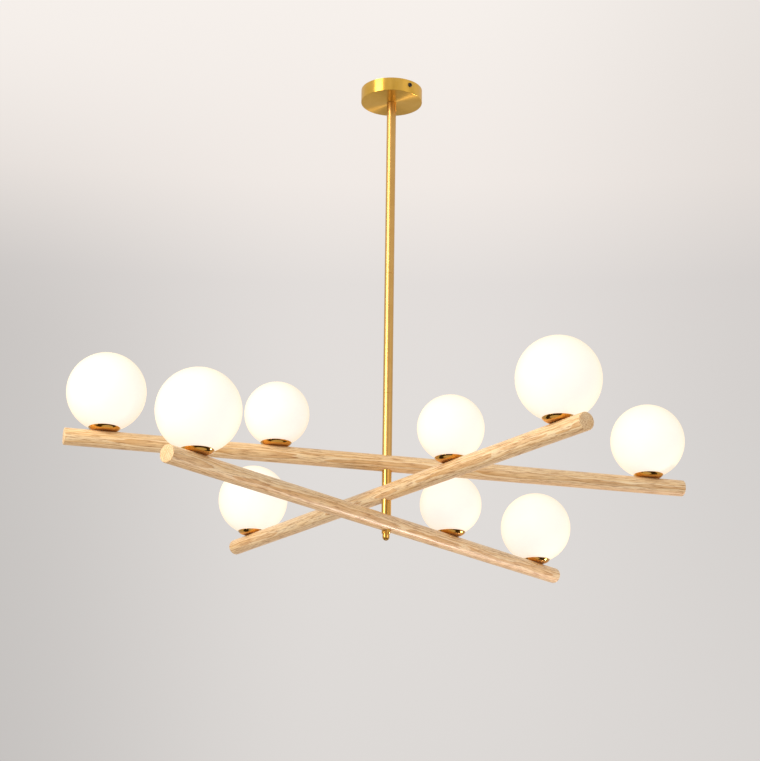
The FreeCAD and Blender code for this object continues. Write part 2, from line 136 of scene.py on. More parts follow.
def bar_turn(bar):
    """Turn of a bar from +X, read from the places of its two end dishes."""
    names = bars[bar]
    span = middle_of(f"{bar}_{names[2]}_dish") - middle_of(f"{bar}_{names[0]}_dish")
    return atan2(span.y, span.x)


# ---- modelling helpers ----

def add_primitive(name, operator, **settings):
    """A new primitive with nothing else selected."""
    bpy.ops.object.select_all(action="DESELECT")
    operator(**settings)
    piece = bpy.context.object
    piece.name = name
    piece.data.name = name
    return piece


def only(piece):
    """Selects the piece alone."""
    bpy.ops.object.select_all(action="DESELECT")
    piece.select_set(True)
    bpy.context.view_layer.objects.active = piece


def settle(piece):
    """Puts the piece's place into its mesh, so that its object sits at the origin."""
    only(piece)
    bpy.ops.object.transform_apply(location=True, rotation=True, scale=True)


def smooth(piece, angle=30):
    """Shades the piece smooth where its faces meet at less than the angle."""
    only(piece)
    bpy.ops.object.shade_smooth_by_angle(angle=radians(angle))


def apply_modifier(piece, kind, **settings):
    only(piece)
    modifier = piece.modifiers.new(kind.lower(), kind)
    for name, value in settings.items():
        setattr(modifier, name, value)
    bpy.ops.object.modifier_apply(modifier=modifier.name)


def cut_out(piece, cutter):
    """Cuts the cutter's shape out of the piece, and removes the cutter."""
    apply_modifier(piece, "BOOLEAN", operation="DIFFERENCE", solver="EXACT", object=cutter)
    bpy.data.objects.remove(cutter)


def turned(name, profile, closed=True, sides=round_sides):
    """A round piece about the Z axis: a circle extruded and scaled through (radius, height) steps."""
    radius, height = profile[0]
    piece = add_primitive(name, bpy.ops.mesh.primitive_circle_add,
                          vertices=sides, radius=radius, location=(0, 0, height))
    settle(piece)
    bpy.ops.object.mode_set(mode="EDIT")
    bpy.ops.mesh.select_all(action="SELECT")
    steps = profile[1:] + (profile[:1] if closed else [])
    for next_radius, next_height in steps:
        bpy.ops.mesh.extrude_region_move()
        bpy.ops.transform.translate(value=(0, 0, next_height - height))
        growth = next_radius / radius
        bpy.ops.transform.resize(value=(growth, growth, 1), center_override=(0, 0, next_height))
        radius, height = next_radius, next_height
    bpy.ops.mesh.select_all(action="SELECT")
    bpy.ops.mesh.remove_doubles(threshold=merge_distance)
    bpy.ops.mesh.fill_holes(sides=0)
    bpy.ops.mesh.normals_make_consistent(inside=False)
    bpy.ops.object.mode_set(mode="OBJECT")
    return piece


def arc(start, end, bulge, steps=arc_steps):
    """Points after start, up to end, on an arc that stands out by bulge to the right of the way."""
    chord = hypot(end[0] - start[0], end[1] - start[1])
    radius = (chord ** 2 / 4 + bulge ** 2) / (2 * bulge)
    half_angle = asin(chord / 2 / radius)
    along = ((end[0] - start[0]) / chord, (end[1] - start[1]) / chord)
    outward = (along[1], -along[0])
    middle = ((start[0] + end[0]) / 2, (start[1] + end[1]) / 2)
    points = []
    for step in range(1, steps + 1):
        angle = -half_angle + 2 * half_angle * step / steps
        forward = radius * sin(angle)
        rise = radius * cos(angle) - radius + bulge
        points.append((middle[0] + along[0] * forward + outward[0] * rise,
                       middle[1] + along[1] * forward + outward[1] * rise))
    return points


def quarter(start, end):
    """A quarter round between two points at 45 degrees, to the right of the way."""
    return arc(start, end, hypot(end[0] - start[0], end[1] - start[1]) * (sqrt(2) - 1) / 2)


def dome(radius, start, tip):
    """Points after the level where a round end starts, up or down to its tip on the axis."""
    way = 1 if tip > start else -1
    points = []
    for degrees in range(dome_step, 90, dome_step):
        angle = radians(degrees)
        points.append((radius * cos(angle), start + way * radius * sin(angle)))
    return points + [(0.0, tip)]


def copy_to(piece, name, place):
    """A copy with its own mesh, moved there."""
    copy = piece.copy()
    copy.data = piece.data.copy()
    copy.name = name
    copy.data.name = name
    bpy.context.collection.objects.link(copy)
    copy.location = place
    settle(copy)
    return copy


def dress(piece, material, body, slot, *nodes):
    """Gives the piece its material and its body, and hides the nodes it stands for. The slot is not
    used.
    """
    piece.data.materials.clear()
    piece.data.materials.append(material)
    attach(piece, body)
    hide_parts(*nodes)


# ---- material helpers ----

# a Mix node's colour sockets share their names with its other sockets, so they go by number
first_colour = 6
second_colour = 7
mixed_colour = 2


def linear(colour):
    """The shader's linear colour of an sRGB hex."""
    channels = [int(colour[place:place + 2], 16) / 255 for place in (1, 3, 5)]
    return [c / 12.92 if c <= 0.04045 else ((c + 0.055) / 1.055) ** 2.4 for c in channels] + [1.0]


def set_stops(color_ramp, stops):
    """Gives a colour ramp its (position, hex) stops."""
    while len(color_ramp.elements) < len(stops):
        color_ramp.elements.new(0.5)
    for element, (position, colour) in zip(color_ramp.elements, stops):
        element.position = position
        element.color = linear(colour)


def add(tree, kind, settings={}):
    """Adds a node. A setting is the node's own or an input's, and a socket is linked to its input."""
    node = tree.nodes.new(kind)
    for name, value in settings.items():
        if isinstance(value, bpy.types.NodeSocket):
            tree.links.new(value, node.inputs[name])
        elif name == "stops":
            set_stops(node.color_ramp, value)
        elif isinstance(name, int) or name in node.inputs:
            node.inputs[name].default_value = value
        else:
            setattr(node, name, value)
    return node


def new_material(name):
    material = bpy.data.materials.new(name)
    material.use_nodes = True
    material.node_tree.nodes.clear()
    return material, material.node_tree


def wave_scale(spacing):
    """The scale that sets a wave texture's waves this far apart: at 1 they are 2 pi / 20 apart."""
    return 2 * pi / 20 / spacing


# ---- materials ----

def metal(name, light, dark, smoothest, roughest, marks_per_metre, mark_depth):
    """Bare metal: a slight play of colour and roughness over stretched tool or polishing marks."""
    material, tree = new_material(name)
    place = add(tree, "ShaderNodeTexCoord").outputs["Object"]
    stretched = add(tree, "ShaderNodeMapping", {"Scale": marks_per_metre, "Vector": place})
    marks = add(tree, "ShaderNodeTexNoise", {
        "Scale": 1.0,
        "Detail": 3.0,
        "Vector": stretched.outputs["Vector"],
    }).outputs["Fac"]
    # handling leaves faint clouds, about 17 mm across
    clouds = add(tree, "ShaderNodeTexNoise", {"Scale": 60.0, "Detail": 2.0, "Vector": place})
    colour = add(tree, "ShaderNodeValToRGB", {
        "stops": ((0.35, dark), (0.65, light)),
        "Fac": clouds.outputs["Fac"],
    })
    sheen = add(tree, "ShaderNodeMapRange", {"To Min": smoothest, "To Max": roughest, "Value": marks})
    bump = add(tree, "ShaderNodeBump", {"Strength": 0.1, "Distance": mark_depth, "Height": marks})
    shader = add(tree, "ShaderNodeBsdfPrincipled", {
        "Metallic": 1.0,
        "Base Color": colour.outputs["Color"],
        "Roughness": sheen.outputs["Result"],
        "Normal": bump.outputs["Normal"],
    })
    add(tree, "ShaderNodeOutputMaterial", {"Surface": shader.outputs["BSDF"]})
    return material


def brushed_brass():
    """Drawn brass tube, brushed round with fine grit and lacquered: soft-edged, warm gold."""
    # the grit's scratches are far finer: drawn 0.25 mm apart along the tube, so that they show
    return metal("brushed_brass", light="#DCB068", dark="#D8AB62", smoothest=0.34, roughest=0.36,
                 marks_per_metre=(900, 900, 4000), mark_depth=0.000003)


def polished_brass():
    """Spun brass, buffed and lacquered: near-mirror gold with dark, saturated reflections."""
    # buffing leaves swirls finer than this: drawn about 0.7 mm apart
    return metal("polished_brass", light="#E4B05A", dark="#DFA950", smoothest=0.07, roughest=0.11,
                 marks_per_metre=(1500, 1500, 1500), mark_depth=0.000002)


def turned_brass():
    """Brass cup faced on a lathe: fine rings that draw the light into streaks from its middle."""
    # the tool's rings are finer: drawn 0.4 mm apart, so that they show
    ring_spacing = 0.0004
    material, tree = new_material("turned_brass")
    place = add(tree, "ShaderNodeTexCoord").outputs["Object"]
    rings = add(tree, "ShaderNodeTexWave", {
        "wave_type": "RINGS",
        "rings_direction": "Z",
        "Scale": wave_scale(ring_spacing),
        "Vector": place,
    })
    # faint clouds, about 12 mm across
    clouds = add(tree, "ShaderNodeTexNoise", {
        "Scale": 80.0,
        "Detail": 3.0,
        "Vector": place,
    }).outputs["Fac"]
    colour = add(tree, "ShaderNodeValToRGB", {
        "stops": ((0.35, "#EAB950"), (0.65, "#EFC05A")),
        "Fac": clouds,
    })
    sheen = add(tree, "ShaderNodeMapRange", {"To Min": 0.30, "To Max": 0.36, "Value": clouds})
    tangent = add(tree, "ShaderNodeTangent", {"direction_type": "RADIAL", "axis": "Z"})
    bump = add(tree, "ShaderNodeBump", {
        "Strength": 0.08,
        "Distance": 0.00001,
        "Height": rings.outputs["Fac"],
    })
    shader = add(tree, "ShaderNodeBsdfPrincipled", {
        "Metallic": 1.0,
        "Anisotropic": 0.9,
        "Anisotropic Rotation": 0.25,
        "Base Color": colour.outputs["Color"],
        "Roughness": sheen.outputs["Result"],
        "Tangent": tangent.outputs["Tangent"],
        "Normal": bump.outputs["Normal"],
    })
    add(tree, "ShaderNodeOutputMaterial", {"Surface": shader.outputs["BSDF"]})
    return material


def threaded_brass():
    """Machined brass with a thread round it: bands of painted light and shade down the tube."""
    thread_pitch = 0.001
    material, tree = new_material("threaded_brass")
    place = add(tree, "ShaderNodeTexCoord").outputs["Object"]
    thread = add(tree, "ShaderNodeTexWave", {
        "wave_type": "BANDS",
        "bands_direction": "Z",
        "Scale": wave_scale(thread_pitch),
        "Vector": place,
    }).outputs["Fac"]
    # the colour is painted shade in the thread's grooves and painted light on its crests
    colour = add(tree, "ShaderNodeValToRGB", {
        "stops": ((0.2, "#9C7A3E"), (0.7, "#D8B26A")),
        "Fac": thread,
    })
    bump = add(tree, "ShaderNodeBump", {"Strength": 0.8, "Distance": 0.0004, "Height": thread})
    shader = add(tree, "ShaderNodeBsdfPrincipled", {
        "Metallic": 1.0,
        "Roughness": 0.3,
        "Base Color": colour.outputs["Color"],
        "Normal": bump.outputs["Normal"],
    })
    add(tree, "ShaderNodeOutputMaterial", {"Surface": shader.outputs["BSDF"]})
    return material


# how far along the wood each bar's grain starts
grain_starts = {"upper": 0.0, "middle": 1.7, "lower": 3.1}


def varnished_oak(bar):
    """Turned oak under clear satin varnish: straw-coloured, with wavy rings and dark pore streaks."""
    ring_spacing = 0.0028
    waviness = 0.004
    heart_offset = (0, 0.034, 0.010)
    material, tree = new_material(bar + "_varnished_oak")
    place = add(tree, "ShaderNodeTexCoord").outputs["Object"]
    # from the frame's axes to the bar's own: x along it, y and z across it
    in_bar = add(tree, "ShaderNodeMapping", {
        "Location": (grain_starts[bar], 0, -bar_level(bar)),
        "Rotation": (0, 0, -bar_turn(bar)),
        "Vector": place,
    }).outputs["Vector"]

    # the grain drifts sideways in waves about 110 mm long
    wave_space = add(tree, "ShaderNodeMapping", {"Scale": (9, 60, 60), "Vector": in_bar})
    drift = add(tree, "ShaderNodeTexNoise", {
        "Scale": 1.0,
        "Detail": 2.0,
        "Vector": wave_space.outputs["Vector"],
    })
    wavy = add(tree, "ShaderNodeVectorMath", {
        "operation": "MULTIPLY_ADD",
        0: drift.outputs["Color"],
        1: (0, 2 * waviness, 2 * waviness),
        2: in_bar,
    })
    # the tree's heart lies beside the bar, so the rings cross its ends as steep arcs
    from_heart = add(tree, "ShaderNodeMapping", {
        "Location": heart_offset,
        "Scale": (0.02, 1, 1),
        "Vector": wavy.outputs["Vector"],
    })
    rings = add(tree, "ShaderNodeTexWave", {
        "wave_type": "RINGS",
        "rings_direction": "X",
        "wave_profile": "SAW",
        "Scale": wave_scale(ring_spacing),
        "Vector": from_heart.outputs["Vector"],
    })
    # pores are 0.3 mm wide: drawn about 1 mm wide and 25 mm long, so that they show
    pore_space = add(tree, "ShaderNodeMapping", {"Scale": (42, 950, 950), "Vector": in_bar})
    pores = add(tree, "ShaderNodeTexNoise", {
        "Scale": 1.0,
        "Detail": 4.0,
        "Roughness": 0.65,
        "Vector": pore_space.outputs["Vector"],
    }).outputs["Fac"]
    # broad streaks of paler and darker wood, about 11 mm wide
    streak_space = add(tree, "ShaderNodeMapping", {"Scale": (6, 90, 90), "Vector": in_bar})
    streaks = add(tree, "ShaderNodeTexNoise", {
        "Scale": 1.0,
        "Detail": 2.0,
        "Vector": streak_space.outputs["Vector"],
    })

    ring_colour = add(tree, "ShaderNodeValToRGB", {
        "stops": ((0.0, "#FDE7C0"), (0.5, "#F5D199"), (0.88, "#CC9450"), (1.0, "#E4B678")),
        "Fac": rings.outputs["Fac"],
    })
    streak_colour = add(tree, "ShaderNodeValToRGB", {
        "stops": ((0.3, "#EEC48A"), (0.7, "#FFEDC9")),
        "Fac": streaks.outputs["Fac"],
    })
    ground = add(tree, "ShaderNodeMix", {
        "data_type": "RGBA",
        "Factor": 0.38,
        first_colour: ring_colour.outputs["Color"],
        second_colour: streak_colour.outputs["Color"],
    })
    pore_mask = add(tree, "ShaderNodeMapRange", {
        "From Min": 0.50,
        "From Max": 0.64,
        "To Max": 0.85,
        "Value": pores,
    }).outputs["Result"]
    wood = add(tree, "ShaderNodeMix", {
        "data_type": "RGBA",
        "Factor": pore_mask,
        first_colour: ground.outputs[mixed_colour],
        second_colour: linear("#A66E36"),
    })
    sheen = add(tree, "ShaderNodeMapRange", {"To Min": 0.42, "To Max": 0.60, "Value": pores})
    bump = add(tree, "ShaderNodeBump", {
        "invert": True,
        "Strength": 0.35,
        "Distance": 0.0002,
        "Height": pore_mask,
    })
    shader = add(tree, "ShaderNodeBsdfPrincipled", {
        "IOR": 1.5,
        "Coat Weight": 0.25,
        "Coat Roughness": 0.24,
        "Coat IOR": 1.5,
        "Base Color": wood.outputs[mixed_colour],
        "Roughness": sheen.outputs["Result"],
        "Normal": bump.outputs["Normal"],
    })
    add(tree, "ShaderNodeOutputMaterial", {"Surface": shader.outputs["BSDF"]})
    return material


def opal_glass():
    """Etched opal glass, lit inside: milk-white, its thin warm skin creamier where it is seen along."""
    material, tree = new_material("opal_glass")
    place = add(tree, "ShaderNodeTexCoord").outputs["Object"]
    # the milk in the glass clouds it faintly, about 40 mm across
    milk = add(tree, "ShaderNodeTexNoise", {
        "Scale": 25.0,
        "Detail": 2.0,
        "Vector": place,
    }).outputs["Fac"]
    body = add(tree, "ShaderNodeValToRGB", {"stops": ((0.3, "#B2B0AC"), (0.7, "#B8B6B2")), "Fac": milk})
    glow = add(tree, "ShaderNodeValToRGB", {"stops": ((0.3, "#FFFAFD"), (0.7, "#FFFBFF")), "Fac": milk})
    shader = add(tree, "ShaderNodeBsdfPrincipled", {
        "Roughness": 0.6,
        "Specular IOR Level": 0.15,
        "Coat Weight": 1.0,
        "Coat Roughness": 0.6,
        "Coat IOR": 1.05,
        "Coat Tint": linear("#FEFAF1"),
        "Base Color": body.outputs["Color"],
        "Emission Color": glow.outputs["Color"],
        "Emission Strength": 0.76,
    })
    add(tree, "ShaderNodeOutputMaterial", {"Surface": shader.outputs["BSDF"]})
    return material


def lamp_glass():
    """Frosted quartz capsule, lit: warm white all over."""
    material, tree = new_material("lamp_glass")
    place = add(tree, "ShaderNodeTexCoord").outputs["Object"]
    # the frosting's grain is finer: drawn about 1 mm across, so that it shows
    frost = add(tree, "ShaderNodeTexNoise", {
        "Scale": 900.0,
        "Detail": 2.0,
        "Vector": place,
    }).outputs["Fac"]
    body = add(tree, "ShaderNodeValToRGB", {"stops": ((0.3, "#EFE9DC"), (0.7, "#FFFBF0")), "Fac": frost})
    glow = add(tree, "ShaderNodeValToRGB", {"stops": ((0.3, "#FFE9C4"), (0.7, "#FFF3DA")), "Fac": frost})
    shader = add(tree, "ShaderNodeBsdfPrincipled", {
        "Roughness": 0.5,
        "Base Color": body.outputs["Color"],
        "Emission Color": glow.outputs["Color"],
        "Emission Strength": 1.6,
    })
    add(tree, "ShaderNodeOutputMaterial", {"Surface": shader.outputs["BSDF"]})
    return material


def speckled(name, light, dark, roughness, grain, depth):
    """A moulded, fired or coated surface: fine mottling in colour and a fine grain in relief."""
    # how far the mottling moves the roughness either way
    play = 0.08
    material, tree = new_material(name)
    place = add(tree, "ShaderNodeTexCoord").outputs["Object"]
    mottle = add(tree, "ShaderNodeTexNoise", {
        "Scale": 1 / grain,
        "Detail": 4.0,
        "Vector": place,
    }).outputs["Fac"]
    colour = add(tree, "ShaderNodeValToRGB", {"stops": ((0.3, dark), (0.7, light)), "Fac": mottle})
    sheen = add(tree, "ShaderNodeMapRange", {
        "To Min": roughness - play,
        "To Max": roughness + play,
        "Value": mottle,
    })
    bump = add(tree, "ShaderNodeBump", {"Strength": 0.4, "Distance": depth, "Height": mottle})
    shader = add(tree, "ShaderNodeBsdfPrincipled", {
        "Base Color": colour.outputs["Color"],
        "Roughness": sheen.outputs["Result"],
        "Normal": bump.outputs["Normal"],
    })
    add(tree, "ShaderNodeOutputMaterial", {"Surface": shader.outputs["BSDF"]})
    return material


brushed = brushed_brass()
polished = polished_brass()
opal = opal_glass()
lamp_skin = lamp_glass()
threads = threaded_brass()
# zinc plating leaves a cool grey, uneven over a millimetre or so
zinc_plate = metal("zinc_plated_steel", light="#BFC3C6", dark="#B3B8BB", smoothest=0.30, roughest=0.40,
                   marks_per_metre=(700, 700, 700), mark_depth=0.00001)
screw_zinc = metal("zinc_plated_screw_steel", light="#B9BCBD", dark="#A2A5A6", smoothest=0.22,
                   roughest=0.36, marks_per_metre=(1500, 1500, 1500), mark_depth=0.00001)
# black oxide leaves a dark, faintly blue bloom on the steel
black_oxide = speckled("black_oxide_steel", light="#1A1A1C", dark="#0C0C0D", roughness=0.38,
                       grain=0.0005, depth=0.00001)
# unglazed steatite: chalky white with a faint grey speckle
steatite = speckled("steatite_ceramic", light="#EFEBE2", dark="#DDD8CC", roughness=0.55,
                    grain=0.0006, depth=0.00003)
# moulded polyamide: milky, with a soft sheen
polyamide = speckled("polyamide", light="#EDEBE3", dark="#E0DDD2", roughness=0.42,
                     grain=0.0010, depth=0.00001)
nylon = speckled("nylon", light="#F0EEE6", dark="#E2DFD4", roughness=0.45,
                 grain=0.0010, depth=0.00001)
# extruded silicone sleeve: soft white, slightly dusty
silicone = speckled("silicone_sleeve", light="#ECE8DC", dark="#DCD6C6", roughness=0.58,
                    grain=0.0015, depth=0.00002)

# nodes that keep the mesh they came with
kept_nodes = {
    "ceiling_plate": zinc_plate,
    "canopy_side_screws": black_oxide,
    "ceiling_nipple": threads,
    "ceiling_locknut": screw_zinc,
    "terminal_block": polyamide,
    "terminal_clamp_screws": screw_zinc,
    "terminal_fixing_screws": screw_zinc,
    "earth_screw": screw_zinc,
    "rod_couplings": threads,
    "tie_tube": threads,
    "swivel_washers": nylon,
    "stem_leads": silicone,
}
for bar in bars:
    kept_nodes[bar + "_bar_leads"] = silicone
    kept_nodes[bar + "_bar_nipples"] = threads
    kept_nodes[bar + "_bar_lamp_holders"] = steatite
for node, material in kept_nodes.items():
    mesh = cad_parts[node].data
    mesh.materials.clear()
    mesh.materials.append(material)


# ---- stem ----

def sleeve(name, node, chamfer, material, slot):
    """A brass tube in a node's place, its outer edges eased."""
    low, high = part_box(node)
    ease = rod_radius - chamfer
    piece = turned(name, [
        (rod_bore_radius, low.z),
        (ease, low.z),
        (rod_radius, low.z + chamfer),
        (rod_radius, high.z - chamfer),
        (ease, high.z),
        (rod_bore_radius, high.z),
    ])
    smooth(piece)
    dress(piece, material, "root", slot, node)


for name in ("upper", "middle", "lower"):
    sleeve(name + "_rod_tube", name + "_rod", rod_edge_chamfer, brushed, "satin_brass")
for name in ("upper", "lower"):
    sleeve(name + "_spacer_sleeve", name + "_spacer", rod_edge_chamfer / 2, polished,
           "polished_brass")


def canopy_cup():
    """Spun cup with a rounded lower edge, a hole for the stem and two for its screws."""
    low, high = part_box("canopy")
    radius = (high.x - low.x) / 2
    inner = radius - canopy_wall
    edge_start = (radius - canopy_edge_radius, low.z)
    edge_end = (radius, low.z + canopy_edge_radius)
    cup = turned("canopy_cup", [
        (canopy_hole_radius, low.z),
        edge_start,
        *quarter(edge_start, edge_end),
        (radius, high.z),
        (inner, high.z),
        (inner, low.z + canopy_wall),
        (canopy_hole_radius, low.z + canopy_wall),
    ], sides=canopy_sides)
    # one long drill makes both screw holes
    drill = add_primitive("drill", bpy.ops.mesh.primitive_cylinder_add, vertices=drill_sides,
                          radius=canopy_screw_hole_radius, depth=3 * radius,
                          location=(0, 0, middle_of("canopy_side_screws").z),
                          rotation=(0, pi / 2, radians(canopy_screw_turn)))
    cut_out(cup, drill)
    smooth(cup)
    dress(cup, turned_brass(), "root", "satin_brass", "canopy")


canopy_cup()


def finial_knob():
    """Spigot in the tie tube, flange on the lowest seat, a short neck and a domed barrel."""
    low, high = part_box("finial")
    seat = high.z - finial_spigot_height
    flange_bottom = seat - finial_flange_height
    neck_bottom = flange_bottom - finial_neck_height
    dome_start = low.z + finial_barrel_radius
    ease = finial_rounding
    knob = turned("finial_knob", [
        (finial_spigot_radius, high.z),
        (finial_spigot_radius, seat),
        (finial_flange_radius, seat),
        (finial_flange_radius, flange_bottom + ease),
        (finial_flange_radius - ease, flange_bottom),
        (finial_neck_radius, flange_bottom),
        (finial_neck_radius, neck_bottom),
        (finial_barrel_radius - ease / 2, neck_bottom),
        (finial_barrel_radius, neck_bottom - ease / 2),
        (finial_barrel_radius, dome_start),
        *dome(finial_barrel_radius, dome_start, low.z),
    ], closed=False)
    smooth(knob)
    dress(knob, polished, "root", "polished_brass", "finial")


finial_knob()


# ---- bars ----

def oak_bar(bar):
    """Round bar with rounded ends, flat seats for the dishes, and the hub's seats and bore."""
    level = bar_level(bar)
    turn = bar_turn(bar)
    wood = add_primitive(bar + "_oak_bar", bpy.ops.mesh.primitive_cylinder_add, vertices=bar_sides,
                         radius=bar_radius, depth=bar_length, location=(0, 0, level),
                         rotation=(0, pi / 2, turn))
    settle(wood)
    apply_modifier(wood, "BEVEL", width=bar_end_rounding, segments=bar_end_segments,
                   limit_method="ANGLE", angle_limit=radians(60))
    # each cut is a cylinder: x, y, z of its middle, radius and height
    depth = bar_radius
    cuts = [(0, 0, level, hub_bore_radius, 4 * bar_radius)]
    for side in (-1, 1):
        seat = level + side * (hub_seat_level + depth)
        cuts.append((0, 0, seat, hub_seat_radius, 2 * depth))
    for light in bars[bar]:
        dish = middle_of(f"{bar}_{light}_dish")
        seat = level + light_seat_level + depth
        cuts.append((dish.x, dish.y, seat, dish_rim_radius, 2 * depth))
        cuts.append((dish.x, dish.y, level + depth, nipple_hole_radius, 2 * depth))
    for x, y, z, radius, height in cuts:
        cutter = add_primitive("cutter", bpy.ops.mesh.primitive_cylinder_add, radius=radius,
                               vertices=cutter_sides, depth=height, location=(x, y, z))
        cut_out(wood, cutter)
    smooth(wood, angle=35)
    dress(wood, varnished_oak(bar), bar + "_bar", "oiled_oak", bar + "_bar")


for bar in bars:
    oak_bar(bar)


# ---- lights ----

def dish_shape():
    """Shallow spun cup with a flat base, a rounded flank and a rounded lip, made about the origin."""
    low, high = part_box("upper_left_dish")
    rim_height = high.z - low.z
    run = dish_rim_radius - dish_base_radius
    slope = hypot(run, rim_height)
    foot = (dish_base_radius, 0.0)
    ease = dish_lip_rounding
    rim = (dish_rim_radius, rim_height - ease)
    rim_top = (dish_rim_radius - ease, rim_height)
    lip_top = (dish_rim_radius - dish_wall + ease, rim_height)
    lip = (dish_rim_radius - dish_wall, rim_height - ease)
    inner_foot = (dish_base_radius - dish_wall * rim_height / slope, dish_wall)
    back = arc(inner_foot, lip, dish_flank_bulge)[::-1]
    return turned("dish", [
        (rod_bore_radius, 0.0),
        foot,
        *arc(foot, rim, dish_flank_bulge),
        *quarter(rim, rim_top),
        lip_top,
        *quarter(lip_top, lip),
        *back[1:],
        inner_foot,
        (rod_bore_radius, dish_wall),
    ])


def globe_shape(name, node):
    """Blown shell, open below at a short collar, made about the mouth's middle."""
    low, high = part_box(node)
    mouth = low.z
    drop = globe_collar_height
    top = high.z - mouth
    # the sphere passes through the collar's upper edge and the globe's top
    rise = top - drop
    radius = (globe_collar_radius ** 2 + rise ** 2) / (2 * rise)
    centre = top - radius
    radius -= facet_allowance
    globe = add_primitive(name, bpy.ops.mesh.primitive_uv_sphere_add, segments=globe_sides,
                          ring_count=globe_sides // 2, radius=radius, location=(0, 0, centre))
    settle(globe)
    bpy.ops.object.mode_set(mode="EDIT")
    bpy.ops.mesh.select_all(action="SELECT")
    bpy.ops.mesh.bisect(plane_co=(0, 0, drop), plane_no=(0, 0, 1), clear_inner=True)
    bpy.ops.mesh.extrude_region_move()
    bpy.ops.transform.translate(value=(0, 0, -drop))
    bpy.ops.mesh.select_all(action="SELECT")
    bpy.ops.mesh.remove_doubles(threshold=merge_distance)
    bpy.ops.mesh.normals_make_consistent(inside=False)
    bpy.ops.object.mode_set(mode="OBJECT")
    apply_modifier(globe, "SOLIDIFY", thickness=glass_thickness, offset=-1.0, use_even_offset=True)
    smooth(globe, angle=40)
    return globe


def lamp_shape():
    """Straight ceramic base, then the capsule with a round top, made about the base's foot."""
    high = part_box("upper_left_lamp")[1]
    height = high.z - bar_level("upper") - holder_top_level
    dome_start = height - lamp_radius
    return turned("lamp", [
        (lamp_base_radius, 0.0),
        (lamp_base_radius, lamp_base_height),
        (lamp_radius, lamp_base_height + lamp_shoulder_height),
        (lamp_radius, dome_start),
        *dome(lamp_radius, dome_start, height),
    ], closed=False, sides=lamp_sides)


def light_on(bar, light, dish_master, lamp_master, globe_master):
    """Dish, lamp and globe of one light, the globe on a body of its own."""
    name = f"{bar}_{light}"
    centre = middle_of(name + "_dish")
    level = bar_level(bar)
    seat = Vector((centre.x, centre.y, level + light_seat_level))
    dish = copy_to(dish_master, name + "_brass_dish", seat)
    dress(dish, polished, bar + "_bar", "polished_brass", name + "_dish")
    lamp_foot = Vector((centre.x, centre.y, level + holder_top_level))
    lamp = copy_to(lamp_master, name + "_capsule_lamp", lamp_foot)
    dress(lamp, lamp_skin, bar + "_bar", "lamp_glass", name + "_lamp")
    # the capsule's base is ceramic
    lamp.data.materials.append(steatite)
    for face in lamp.data.polygons:
        if face.center.z < level + holder_top_level + lamp_base_height:
            face.material_index = 1
    mouth = Vector((centre.x, centre.y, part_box(name + "_globe")[0].z))
    globe = copy_to(globe_master, name + "_opal_globe", mouth)
    dress(globe, opal, name + "_globe", "opal_glass", name + "_globe")


dish_master = dish_shape()
smooth(dish_master)
lamp_master = lamp_shape()
smooth(lamp_master)
large_globe = globe_shape("large_globe", "upper_left_globe")
small_globe = globe_shape("small_globe", "upper_inner_globe")
for bar, names in bars.items():
    for light in names:
        globe_master = small_globe if light == "inner" else large_globe
        light_on(bar, light, dish_master, lamp_master, globe_master)
for master in (dish_master, lamp_master, large_globe, small_globe):
    bpy.data.objects.remove(master)


# ---- stage ----

floor_size = 200
# the floor lies this far below the light
floor_drop = 3.8
hub = (0, 0, bar_level("middle"))
stem_middle = (0, 0, -0.4)


def pale_floor():
    """Plain floor well below the hanging light."""
    floor = add_primitive("floor", bpy.ops.mesh.primitive_plane_add, size=floor_size,
                          location=(0, 0, cad_low.z - floor_drop))
    settle(floor)
    material, tree = new_material("pale_floor")
    shader = add(tree, "ShaderNodeBsdfPrincipled", {"Base Color": linear("#F2EEEA"), "Roughness": 0.9})
    add(tree, "ShaderNodeOutputMaterial", {"Surface": shader.outputs["BSDF"]})
    floor.data.materials.append(material)


def side_loss(tree, direction, side, lower_end, upper_end, loss_below, loss_above):
    """How much darker the backdrop gets towards one side: its loss changes between two heights."""
    fall_start = 0.02
    fall_end = 0.24
    outward = add(tree, "ShaderNodeMapRange", {
        "interpolation_type": "SMOOTHSTEP",
        "From Min": side * fall_start,
        "From Max": side * fall_end,
        "Value": direction.outputs["X"],
    })
    loss = add(tree, "ShaderNodeMapRange", {
        "interpolation_type": "SMOOTHSTEP",
        "From Min": lower_end,
        "From Max": upper_end,
        "To Min": loss_below,
        "To Max": loss_above,
        "Value": direction.outputs["Z"],
    })
    return add(tree, "ShaderNodeMath", {
        "operation": "MULTIPLY",
        0: outward.outputs["Result"],
        1: loss.outputs["Result"],
    }).outputs["Value"]


